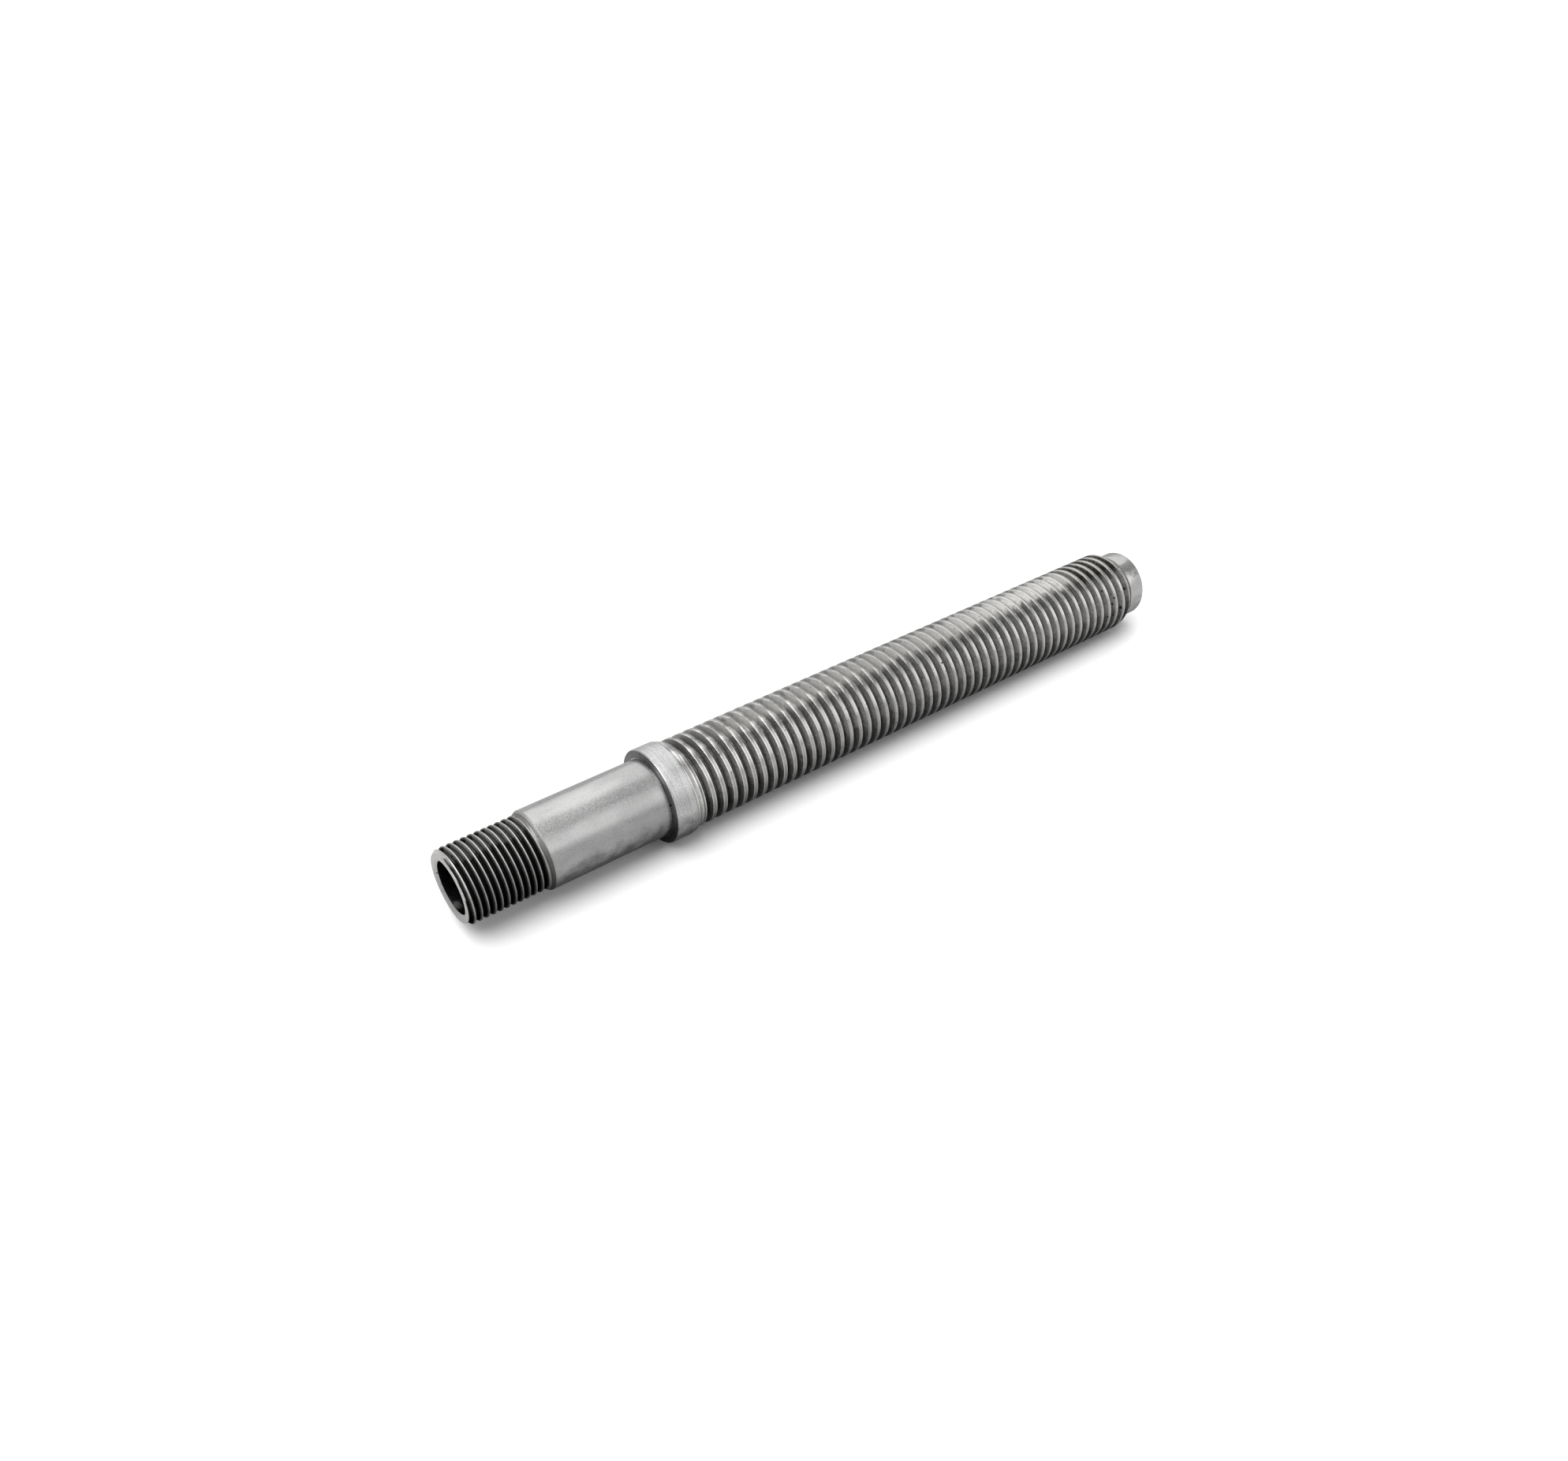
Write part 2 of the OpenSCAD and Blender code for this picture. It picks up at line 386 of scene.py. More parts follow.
class Wiring:
    """Short names for adding nodes to one tree and joining them."""

    def __init__(self, tree):
        self.tree = tree

    def node(self, kind, inputs=None, **settings):
        made = self.tree.nodes.new(kind)
        for key, value in settings.items():
            setattr(made, key, value)
        for key, value in (inputs or {}).items():
            self.feed(made.inputs[key], value)
        return made

    def feed(self, socket, value):
        if isinstance(value, bpy.types.NodeSocket):
            self.tree.links.new(value, socket)
        else:
            socket.default_value = value

    def group(self, name, build):
        """A shared group placed here, and built if it isn't there yet."""
        return self.node("ShaderNodeGroup", node_tree=bpy.data.node_groups.get(name) or build())

    def attribute(self, name):
        return self.node("ShaderNodeAttribute", attribute_name=name).outputs["Fac"]

    def maths(self, operation, *values):
        made = self.node("ShaderNodeMath", operation=operation)
        for socket, value in zip(made.inputs, values):
            self.feed(socket, value)
        return made.outputs[0]

    def product(self, first, *others):
        for value in others:
            first = self.maths("MULTIPLY", first, value)
        return first

    def between(self, share, low, high):
        """The number low where share is 0 and high where it is 1."""
        made = self.node("ShaderNodeMix", data_type="FLOAT")
        for place, value in ((0, share), (2, low), (3, high)):
            self.feed(made.inputs[place], value)
        return made.outputs[0]

    def faded(self, tone, share):
        """1 where share is 0 and the tone where it is 1."""
        return self.maths("MULTIPLY_ADD", self.maths("SUBTRACT", tone, 1.0), share, 1.0)

    def toned(self, value, stops, unit=1.0):
        """The tone at a value: stops are (value in units of unit, tone), joined by straight lines."""
        low, high = stops[0][0], stops[-1][0]
        ramp = self.node("ShaderNodeValToRGB")
        self.feed(ramp.inputs[0], self.mapped(value, low * unit, high * unit, smooth=False))
        points = ramp.color_ramp.elements
        # a ramp's colours end at 1, so the tones go in halved
        for k, (place, tone) in enumerate(stops):
            share = (place - low) / (high - low)
            point = points[k] if k < 2 else points.new(share)
            point.position = share
            point.color = (tone / 2, tone / 2, tone / 2, 1.0)
        return self.product(ramp.outputs["Color"], 2.0)

    def mapped(self, value, low, high, to_low=0.0, to_high=1.0, smooth=True):
        made = self.node(
            "ShaderNodeMapRange",
            {"Value": value, "From Min": low, "From Max": high, "To Min": to_low, "To Max": to_high},
            interpolation_type="SMOOTHSTEP" if smooth else "LINEAR",
        )
        return made.outputs["Result"]

    def spread(self, noise, low, high):
        """A noise, which mostly lies between 0.3 and 0.7, brought to between low and high."""
        return self.mapped(noise, 0.3, 0.7, low, high, smooth=False)

    def stripe(self, angle, middle, full, gone):
        """1 within full degrees of the middle, and 0 further off than gone."""
        off = self.maths("ABSOLUTE", self.maths("SUBTRACT", angle, middle))
        return self.mapped(off, full, gone, 1.0, 0.0)

    def noise(self, vector, scale, detail, rough):
        inputs = {"Vector": vector, "Scale": scale, "Detail": detail, "Roughness": rough}
        return self.node("ShaderNodeTexNoise", inputs).outputs["Fac"]

    def mixed(self, share, a, b):
        made = self.node("ShaderNodeMix", data_type="RGBA")
        self.feed(made.inputs["Factor"], share)
        self.feed(made.inputs[6], a)
        self.feed(made.inputs[7], b)
        return made.outputs[2]

    def scaled(self, share, a):
        """Colour a times the number share."""
        made = self.node("ShaderNodeMix", data_type="RGBA", blend_type="MULTIPLY")
        made.inputs["Factor"].default_value = 1.0
        self.feed(made.inputs[6], a)
        joined = self.node("ShaderNodeCombineColor", {"Red": share, "Green": share, "Blue": share})
        self.feed(made.inputs[7], joined.outputs[0])
        return made.outputs[2]


def from_axis(w, y, z):
    """The distance from the X axis."""
    return w.maths("SQRT", w.maths("ADD", w.product(y, y), w.product(z, z)))


def turning_marks_group():
    """Marks left by the lathe. Rings is a noise that runs fast along x + 1.7 r, where r is the
    distance from the axis, and slowly round the axis, so that its rings wander a little."""
    tree = node_group(
        "turning marks",
        {"Fineness": 9000.0, "Wander": 1.0},
        ("Rings", "Grain", "Radius", "X"),
    )
    w = Wiring(tree)
    given = w.node("NodeGroupInput")
    place = w.node("ShaderNodeTexCoord")
    split = w.node("ShaderNodeSeparateXYZ", {"Vector": place.outputs["Object"]})
    x, y, z = split.outputs
    radius = from_axis(w, y, z)
    safe = w.maths("MAXIMUM", radius, NEAR_AXIS)
    wander = given.outputs["Wander"]
    joined = w.node(
        "ShaderNodeCombineXYZ",
        {
            "X": w.product(w.maths("ADD", x, w.product(radius, 1.7)), given.outputs["Fineness"]),
            "Y": w.product(w.maths("DIVIDE", y, safe), wander),
            "Z": w.product(w.maths("DIVIDE", z, safe), wander),
        },
    )
    rings = w.noise(joined.outputs[0], 1.0, 3.0, 0.6)
    grain = w.noise(place.outputs["Object"], GRAIN_SCALE, 2.0, 0.6)
    w.node("NodeGroupOutput", {"Rings": rings, "Grain": grain, "Radius": radius, "X": x})
    return tree


def smudge_group():
    """Soft handling marks: slow noise drawn out along the axis, darker flecks, and a fine mottle."""
    tree = node_group(
        "smudges",
        {"Scale": 160.0, "Stretch": 0.35},
        ("Smudge", "Flecks", "Mottle"),
    )
    w = Wiring(tree)
    given = w.node("NodeGroupInput")
    place = w.node("ShaderNodeTexCoord")
    split = w.node("ShaderNodeSeparateXYZ", {"Vector": place.outputs["Object"]})
    joined = w.node(
        "ShaderNodeCombineXYZ",
        {
            "X": w.product(split.outputs[0], given.outputs["Stretch"]),
            "Y": split.outputs[1],
            "Z": split.outputs[2],
        },
    )
    smudge = w.noise(joined.outputs[0], given.outputs["Scale"], 3.0, 0.55)
    flecks = w.mapped(w.noise(place.outputs["Object"], FLECK_SCALE, 1.0, 0.5), 0.70, 0.78)
    mottle = w.noise(place.outputs["Object"], MOTTLE_SCALE, 3.0, 0.7)
    w.node("NodeGroupOutput", {"Smudge": smudge, "Flecks": flecks, "Mottle": mottle})
    return tree


def steel(name):
    """A new steel material, its wiring, its shader, and both shared groups placed in it."""
    material = bpy.data.materials.new(name)
    material.use_nodes = True
    w = Wiring(material.node_tree)
    shader = material.node_tree.nodes["Principled BSDF"]
    shader.inputs["Metallic"].default_value = 1.0
    marks = w.group("turning marks", turning_marks_group)
    smudges = w.group("smudges", smudge_group)
    return material, w, shader, marks, smudges


def finish_steel(w, shader, base, roughness, height, strength):
    """Joins a colour, a roughness and a height to the shader."""
    w.feed(shader.inputs["Base Color"], base)
    w.feed(shader.inputs["Roughness"], roughness)
    bump = w.node("ShaderNodeBump", {"Height": height, "Strength": strength, "Distance": BUMP_HEIGHT})
    w.feed(shader.inputs["Normal"], bump.outputs[0])


PITS = (
    # x, y, z and radius of each small dark pit, in millimetres
    (9.53, -3.83, 8.69, 0.22),
    (-0.10, -7.87, 2.89, 0.22),
    (-0.05, 2.50, 9.45, 0.25),
    (-42.26, -0.27, 7.33, 0.24),
    (-39.40, -4.04, 5.93, 0.20),
    (72.77, -6.90, 6.53, 0.22),
    (125.27, -6.69, 5.99, 0.28),
    (125.68, -9.38, -0.11, 0.22),
    (127.94, -8.42, 2.24, 0.30),
    (128.05, -8.52, 3.93, 0.30),
    (128.17, -9.05, -0.73, 0.22),
    (130.63, -8.94, 0.53, 0.42),
    (132.88, -7.43, 4.31, 0.36),
)


def pits_group():
    """Small dark pits: 1 inside any of the listed spheres and 0 away from them."""
    tree = node_group("pits", {}, ("Pits",))
    w = Wiring(tree)
    place = w.node("ShaderNodeTexCoord").outputs["Object"]
    ragged = w.spread(w.noise(place, PIT_SCALE, 2.0, 0.6), 0.6, 1.5)
    total = 0.0
    for x, y, z, radius in PITS:
        inputs = {0: place, 1: (x * MM, y * MM, z * MM)}
        far = w.node("ShaderNodeVectorMath", inputs, operation="DISTANCE").outputs["Value"]
        near = w.mapped(w.product(far, ragged), 1.4 * radius * MM, 0.7 * radius * MM)
        total = w.maths("MAXIMUM", total, near)
    w.node("NodeGroupOutput", {"Pits": total})
    return tree


def pitted(w, base):
    """The base colour with the pits darkened."""
    pits = w.group("pits", pits_group).outputs["Pits"]
    return w.mixed(w.product(pits, 0.92), base, PIT_COLOUR)


# painted shade: tone of the sides and the bottom, darker towards the bottom, against the angle from the
# top in degrees; the spigot's has a band of painted reflection near the top
SIDES = ((80.0, 1.0), (84.0, 1.0), (117.0, 0.25))
SPIGOT_SIDES = (
    (0.0, 0.7), (12.0, 0.7), (22.0, 0.46), (36.0, 0.5), (46.0, 1.0), (83.0, 1.0), (117.0, 0.3),
)
FEED_SIDES = ((66.0, 1.0), (80.0, 0.9), (90.0, 0.7), (117.0, 0.25))
FACE_SIDES = ((60.0, 0.85), (117.0, 0.62), (180.0, 0.6))
NOSE_SIDES = ((45.0, 1.0), (54.0, 1.0), (90.0, 0.55), (117.0, 0.25))
# painted reflection: tone of the feed thread's crests against the same angle, positive towards -Y, in
# bands that follow the lamps, and darker along the top near the collar
NEAR_CRESTS = (
    (-45.0, 1.0), (-25.0, 0.9), (-15.0, 0.66), (0.0, 0.32), (8.0, 0.46), (16.0, 0.9), (22.0, 0.85),
    (30.0, 0.72), (38.0, 0.9), (46.0, 1.0),
)
FAR_CRESTS = (
    (-45.0, 1.0), (-15.0, 0.84), (0.0, 0.8), (15.0, 0.66), (30.0, 0.8), (40.0, 0.95), (46.0, 1.0),
)
# painted shade and reflection: tone of the shaded grooves against the angle, darkest just below the lit
# top
GROOVE_SHADE_ROUND = (
    (15.0, 0.7), (20.0, 0.62), (30.0, 0.68), (45.0, 1.04), (60.0, 1.14), (75.0, 1.3), (90.0, 0.95),
    (100.0, 0.85),
)
# tone of the grooves painted with shade, of those painted lighter along the lit top, and of the crests,
# against x in millimetres
GROOVE_SHADE_ALONG = ((40.0, 1.0), (100.0, 0.88))
LIT_GROOVES_ALONG = ((8.0, 0.55), (12.0, 0.75), (20.0, 1.36), (45.0, 1.36), (70.0, 1.4), (100.0, 1.85))
CREST_ALONG = ((25.0, 1.0), (55.0, 0.86), (80.0, 0.86), (105.0, 1.0))
# painted highlight and shade across a crest, from its -X edge at -1 to its +X edge at 1, on the top and
# on the front
NEAR_TOP_ACROSS = ((-1.0, 1.45), (-0.4, 1.3), (0.1, 0.75), (1.0, 0.55))
TOP_ACROSS = ((-1.0, 1.2), (-0.45, 1.15), (0.1, 0.74), (1.0, 0.44))
FRONT_ACROSS = ((-1.0, 0.55), (0.0, 0.97), (0.6, 1.12), (1.0, 1.25))
# painted shade: tone of the grooves against their depth, from 0 at the crest to 1 on the floor, darker
# deeper in and less so along the lit top
NOSE_GROOVE_SHADE = ((0.0, 0.8), (0.1, 0.5), (0.2, 0.3), (0.4, 0.115), (0.7, 0.035), (1.0, 0.015))
NOSE_LIT_GROOVES = ((0.0, 0.9), (0.2, 0.6), (0.45, 0.36), (0.7, 0.23), (1.0, 0.15))
FEED_GROOVE_SHADE = ((0.0, 0.68), (0.1, 0.68), (0.5, 0.66), (0.85, 0.52), (0.93, 0.30), (1.0, 0.13))
FEED_LIT_GROOVES = ((0.0, 0.75), (0.5, 0.66), (1.0, 0.5))
# x in millimetres and tone along the nose and up to the journal: a painted highlight on the end face
# and the first turns, and painted shade on the shoulder's bevel
SHOULDER_LIGHT_RINGS = (
    (-44.1, 1.55), (-43.9, 1.5), (-43.3, 1.4), (-42.9, 1.25), (-42.4, 1.0), (-27.6, 1.0), (-27.3, 0.2),
    (-27.1, 0.38), (-26.6, 0.42), (-26.45, 0.75), (-26.4, 0.75),
)
# the same between the collar and the feed thread's first crest: rings of painted highlight and shade
# for fine turned steps
RUN_OUT_LIGHT_RINGS = (
    (4.4, 0.9), (4.62, 0.6), (4.8, 0.6), (5.0, 1.25), (5.25, 1.2), (5.5, 0.85), (5.8, 0.8), (6.05, 1.0),
    (6.25, 1.25), (6.45, 0.75), (6.6, 0.45), (6.75, 0.8), (6.9, 1.3), (7.1, 1.2), (7.3, 1.0),
)
# those lines lead by up to this much, most of all on the side with this (y, z)
LEAD = 0.4 * MM
LEAD_SIDE = (0.643, 0.766)
# stripes along the screw, in degrees from the top: the middle, and how far off it the stripe
# begins to fade and is gone
# painted light: the stripe along the top where the grooves are painted lighter
LIT_TOP_STRIPE = (-5.0, 12.0, 28.0)
# painted shade: the band just below the top where the grooves' sides are painted lit and shaded
DARK_STRIPE = (28.0, 8.0, 20.0)
# the top, where the crests' painted highlight lies on their edge towards the collar
TOP_STRIPE = (0.0, 20.0, 36.0)
BROWN_STRIPE = (-12.0, 28.0, 46.0)
# stretches of x over which the crests' tones, the brown oil and the matt shoulder set in, in metres
ALONG_CRESTS = (0.02, 0.1)
ALONG_EDGES = (0.02, 0.06)
BROWN_ALONG = (0.115, 0.122)
MATT_ALONG = (-0.0274, -0.0271)
# the stretches of radius and of x just inside the end face's rim
FACE_RIM = (0.0066, 0.0068)
FACE_BACK = (-0.04399, -0.04395)
# the tone of a plain piece's end face
END_FACE_TONE = 0.8


def plain_steel(name, tint, rough, grain, ring, smudge, fineness=9000.0, under=SIDES, face=0.0):
    """Satin turned steel. grain and ring say how far the grain and the turned rings shade its colour
    and raise it, and smudge how far handling marks do. under is the painted shade against the angle
    from the top, darker towards the bottom, and reaches in to the radius face."""
    material, w, shader, marks, smudges = steel(name)
    marks.inputs["Fineness"].default_value = fineness
    grains, rings = marks.outputs["Grain"], marks.outputs["Rings"]
    shade = w.maths(
        "ADD",
        w.spread(grains, 1 - 0.35 * grain, 1 + 0.35 * grain),
        w.spread(rings, -0.18 * ring, 0.18 * ring),
    )
    smudged = w.mapped(smudges.outputs["Smudge"], 0.35, 0.65, 1 - smudge, 1 + 0.3 * smudge)
    aside = w.group("place round the axis", round_group).outputs["Aside"]
    outer = w.mapped(marks.outputs["Radius"], face - 0.4 * MM, face)
    # painted shade: darker towards the bottom, and the end face of one tone
    side = w.between(outer, END_FACE_TONE, w.toned(aside, under))
    shade = w.product(shade, smudged, side, w.attribute("tone"))
    base = pitted(w, w.scaled(shade, (*tint, 1.0)))
    roughness = w.spread(grains, rough - 0.05, rough + 0.07)
    height = w.maths("ADD", w.product(rings, ring), w.product(grains, grain))
    finish_steel(w, shader, base, roughness, height, 0.35)
    return material


def round_group():
    """Where a point lies round the axis. Angle is in degrees from the top, positive towards -Y and with
    a ragged border, and Aside is its size. Lit top is 1 along the top, where the grooves are painted
    lighter as if lit. Lead is how far the turned lines, painted as rings of highlight and shade, have
    moved along X at this angle, in metres."""
    tree = node_group(
        "place round the axis", {"Ragged": 9.0}, ("Angle", "Aside", "Lit top", "Lead")
    )
    w = Wiring(tree)
    given = w.node("NodeGroupInput")
    place = w.node("ShaderNodeTexCoord").outputs["Object"]
    _, y, z = w.node("ShaderNodeSeparateXYZ", {"Vector": place}).outputs
    turn = w.maths("DEGREES", w.maths("ARCTAN2", w.product(y, -1.0), z))
    ragged = w.spread(w.noise(place, BORDER_SCALE, 3.0, 0.6), -1.0, 1.0)
    angle = w.maths("MULTIPLY_ADD", ragged, given.outputs["Ragged"], turn)
    lead = w.maths("ADD", w.product(y, LEAD_SIDE[0]), w.product(z, LEAD_SIDE[1]))
    lead = w.maths("DIVIDE", lead, w.maths("MAXIMUM", from_axis(w, y, z), NEAR_AXIS))
    found = {
        "Angle": angle,
        "Aside": w.maths("ABSOLUTE", angle),
        "Lit top": w.stripe(angle, *LIT_TOP_STRIPE),
        "Lead": w.product(lead, LEAD),
    }
    w.node("NodeGroupOutput", found)
    return tree


class ThreadSteel:
    """The start of a thread's steel: its nodes, and the values that both threads read. groove is 0
    on the crests and 1 on the floor, and depth is the same with blotches."""

    def __init__(self, name):
        self.material, self.w, self.shader, marks, smudges = steel(name)
        w = self.w
        self.marks, self.smudges = marks.outputs, smudges.outputs
        place = w.group("place round the axis", round_group).outputs
        self.angle, self.aside = place["Angle"], place["Aside"]
        self.clean, self.lead = place["Lit top"], place["Lead"]
        self.x = self.marks["X"]
        self.groove = w.attribute("groove")
        blotch = w.spread(self.smudges["Smudge"], -0.06, 0.06)
        self.depth = w.maths("MAXIMUM", w.maths("ADD", self.groove, blotch), 0.0)

    def groove_tone(self, groove_shade, lit_grooves):
        """1 on the crests, and in the grooves the painted light of the lit top there and painted shade
        elsewhere.
        """
        inside = self.w.between(self.clean, groove_shade, lit_grooves)
        return self.w.between(self.w.mapped(self.groove, 0.005, 0.05), 1.0, inside)

    def marked(self, shade, light_rings, lines_on_top=1.0):
        """The shade with grain, mottled grooves away from the lit top, and rings of painted highlight
        and shade along x, of which the share lines_on_top is left on the lit top."""
        w = self.w
        grain = w.maths(
            "ADD", w.spread(self.marks["Grain"], 0.84, 1.16), w.spread(self.marks["Rings"], -0.08, 0.08)
        )
        mottle = w.spread(self.smudges["Mottle"], 0.7, 1.3)
        below = w.product(w.mapped(self.groove, 0.0, 0.2), w.between(self.clean, 1.0, 0.3))
        # rings of painted highlight and shade along x
        rings = w.toned(w.maths("ADD", self.x, self.lead), light_rings, MM)
        soft = w.between(self.clean, 1.0, lines_on_top)
        return w.product(shade, grain, w.faded(mottle, below), w.faded(rings, soft))

    def roughness(self, crests):
        return self.w.mapped(self.groove, 0.0, 0.3, crests, crests + 0.2)

    def finished(self, base, roughness):
        """The material, with pits, flecks and a fine height."""
        w = self.w
        base = w.mixed(w.product(self.smudges["Flecks"], 0.6), pitted(w, base), FLECK_COLOUR)
        rings, grain = w.product(self.marks["Rings"], 0.4), w.product(self.marks["Grain"], 0.5)
        height = w.maths("ADD", rings, grain)
        finish_steel(w, self.shader, base, roughness, height, 0.18)
        return self.material


def nose_steel(colour):
    """The nose's steel: grooves painted black with shade between bright crests, and an end face of one
    tone.
    """
    t = ThreadSteel("nose steel")
    w = t.w
    # painted shade in the grooves, lighter along the lit top
    grooves = t.groove_tone(w.toned(t.depth, NOSE_GROOVE_SHADE), w.toned(t.depth, NOSE_LIT_GROOVES))
    off_face = w.maths("MINIMUM", w.mapped(t.marks["Radius"], *FACE_RIM), w.mapped(t.x, *FACE_BACK))
    # painted shade: the end face and the nose darker towards the bottom
    side = w.between(off_face, w.toned(t.aside, FACE_SIDES), w.toned(t.aside, NOSE_SIDES))
    shade = t.marked(w.product(grooves, side), SHOULDER_LIGHT_RINGS)
    # the oil takes the sheen off the flanks that are seen at a low angle
    sheen = w.mapped(t.groove, 0.1, 0.5, 1.0, 0.1)
    w.feed(t.shader.inputs["Specular Tint"], w.scaled(sheen, WHITE))
    roughness = w.maths("ADD", t.roughness(0.34), w.mapped(t.x, *MATT_ALONG, 0.0, 0.3))
    return t.finished(w.scaled(shade, (*colour, 1.0)), roughness)


def feed_steel(colour):
    """The feed thread's steel: grooves painted dark with shade, a top painted pale with light, crests
    with painted reflection and highlights, and brown oil in the last grooves."""
    t = ThreadSteel("thread steel")
    w = t.w
    across = w.attribute("across")
    # painted shade in the grooves, by depth, angle round the axis and x
    groove_shade = w.product(
        w.toned(t.depth, FEED_GROOVE_SHADE),
        w.toned(t.aside, GROOVE_SHADE_ROUND),
        w.toned(t.x, GROOVE_SHADE_ALONG, MM),
        collar_side_tone(t, across),
    )
    # painted light: the grooves along the top, lighter further from the collar
    lit_grooves = w.product(w.toned(t.depth, FEED_LIT_GROOVES), w.toned(t.x, LIT_GROOVES_ALONG, MM))
    # painted shade: darker towards the bottom
    side = w.toned(t.aside, FEED_SIDES)
    shade = w.product(t.groove_tone(groove_shade, lit_grooves), side, crest_tone(t, across))
    shade = t.marked(shade, RUN_OUT_LIGHT_RINGS, lines_on_top=0.4)
    base = w.mixed(brown_oil(t), w.scaled(shade, (*colour, 1.0)), OIL_COLOUR)
    return t.finished(base, t.roughness(0.27))


def collar_side_tone(t, across):
    """Painted light and shade just below the lit top, where the groove's side that faces the collar is
    lighter and the rest is darker."""
    lighter = t.w.mapped(across, -1.0, 0.3, 1.34, 0.68, smooth=False)
    return t.w.faded(lighter, t.w.stripe(t.angle, *DARK_STRIPE))


def crest_tone(t, across):
    """The tone of the feed thread's crests, painted reflection and highlight: bands round the axis that
    follow the lamps, darker along the top near the collar, a painted highlight on the edge towards the
    collar there and painted shade on it along the front, and two painted bright edges near the collar.
    None of it reaches into the grooves."""
    w = t.w
    # painted reflection: bands round the crests, darker along the top near the collar
    crest_bands = w.between(
        w.mapped(t.x, *ALONG_CRESTS), w.toned(t.angle, NEAR_CRESTS), w.toned(t.angle, FAR_CRESTS)
    )
    further = w.mapped(t.x, *ALONG_EDGES)
    # painted highlights on both crest edges near the collar
    both_glints = w.mapped(w.maths("ABSOLUTE", across), 0.2, 0.9, 0.75, 1.25)
    front = w.between(further, both_glints, w.toned(across, FRONT_ACROSS))
    top = w.between(further, w.toned(across, NEAR_TOP_ACROSS), w.toned(across, TOP_ACROSS))
    edge_glints = w.between(w.stripe(t.angle, *TOP_STRIPE), front, top)
    tone = w.product(crest_bands, edge_glints, w.toned(t.x, CREST_ALONG, MM))
    return w.faded(tone, w.mapped(t.groove, 0.0, 0.1, 1.0, 0.0))


def brown_oil(t):
    """How far brown oil covers the last turns, round the top and most of all in the grooves."""
    w = t.w
    return w.product(
        w.mapped(t.x, *BROWN_ALONG),
        w.stripe(t.angle, *BROWN_STRIPE),
        w.mapped(t.groove, 0.0, 0.2, 0.25, 0.95),
        w.mapped(t.smudges["Mottle"], 0.35, 0.55, 0.8, 1.0),
    )


# ---------------------------------------------------------------- operators


def settings():
    return bpy.context.scene.feed_screw_settings


def place_piece(obj, material):
    """Gives a finished piece its steel and ties it to the CAD solid it stands for."""
    obj.data.materials.append(material)
    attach(obj, "root")
    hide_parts(NODE)
    return {"FINISHED"}


def turned_piece(name, outline, stops):
    """A plain turned piece whose tones are a mask on it."""
    return grid_mesh(name, turned_grid(outline), {"tone": tones(outline, stops)})


# share of the nose groove's depth that is cut, against turns from the start
NOSE_BITE = ((-0.2, 0.8), (0.1, 1.0), (11.0, 1.0), (11.45, 0.0))
# painted shade: how much darker the groove is on the end bevel, against metres from the face
BEVEL_SHADE = ((0.0008, 3.0), (0.0012, 1.0))
# the end face's last ring, as a share of its radius
FACE_RING = 0.994
# depths of the rows down the bore, and how far below the lip the last one lies
BORE_ROWS = (0.01, 0.005, 0.0034, 0.0028, 0.0024, 0.002, 0.0016, 0.0013, 0.001, 0.0007)
LIP_ROW = 0.03 * MM
# how far the faint streaks pale the bore's wall
STREAKS = 0.4
# the wall's pale patch, a painted reflection: middle and spread in degrees round the axis, depth and
# length in metres
PATCH_ANGLE, PATCH_SPREAD = 279.0, 9.0
PATCH_DEPTH, PATCH_LENGTH = 0.0011, 0.0006
PATCH_STRENGTH = 2.2


class FEEDSCREW_OT_nose(Operator):
    """Build the hollow nose with its fine thread"""

    bl_idname = "feedscrew.nose"
    bl_label = "Nose"

    def execute(self, context):
        n = settings().nose
        start = LOW.x
        shoulder = -settings().journal.length
        blank = [
            (start, n.face_radius),
            (start + n.bevel, n.crest_radius),
            (shoulder - n.shoulder, n.crest_radius),
            (shoulder, settings().journal.radius),
        ]
        points, masks = screw_grid(n, blank, NOSE_BITE, from_crest=True)
        # painted shade: the groove's shallow start on the bevel is as dark as its depths
        groove_shade = np.interp(points[..., 0] - start, *np.transpose(BEVEL_SHADE))
        masks["groove"] = np.minimum(masks["groove"] * groove_shade, 1.0)
        # the end face's closing row opens into the countersink and the bore
        depths = np.array([n.bore_depth, *BORE_ROWS, n.lip + LIP_ROW, n.lip])
        bore = [(start + n.bore_depth, 0.0)]
        bore += [(start + depth, n.bore_radius) for depth in depths]
        bore.append((start, n.bore_radius + n.lip))
        inner = turned_grid(bore, THREAD_RAYS, n.start_angle)
        # a last ring just inside the face's edge keeps the groove's tone off the face
        edge = points[1] * np.array([1.0, FACE_RING, FACE_RING])
        points = np.concatenate([inner, edge[None], points[1:]])
        # painted shade: the bore's wall takes the darkest groove tone, less in the painted reflection
        marks = bore_wall_shade(depths, n.start_angle)
        inside = np.concatenate([np.ones_like(marks[:1]), marks, np.zeros_like(marks[:2])])
        masks = {key: np.concatenate([inside, values[1:]]) for key, values in masks.items()}
        return place_piece(grid_mesh("nose", points, masks), nose_steel(n.colour))


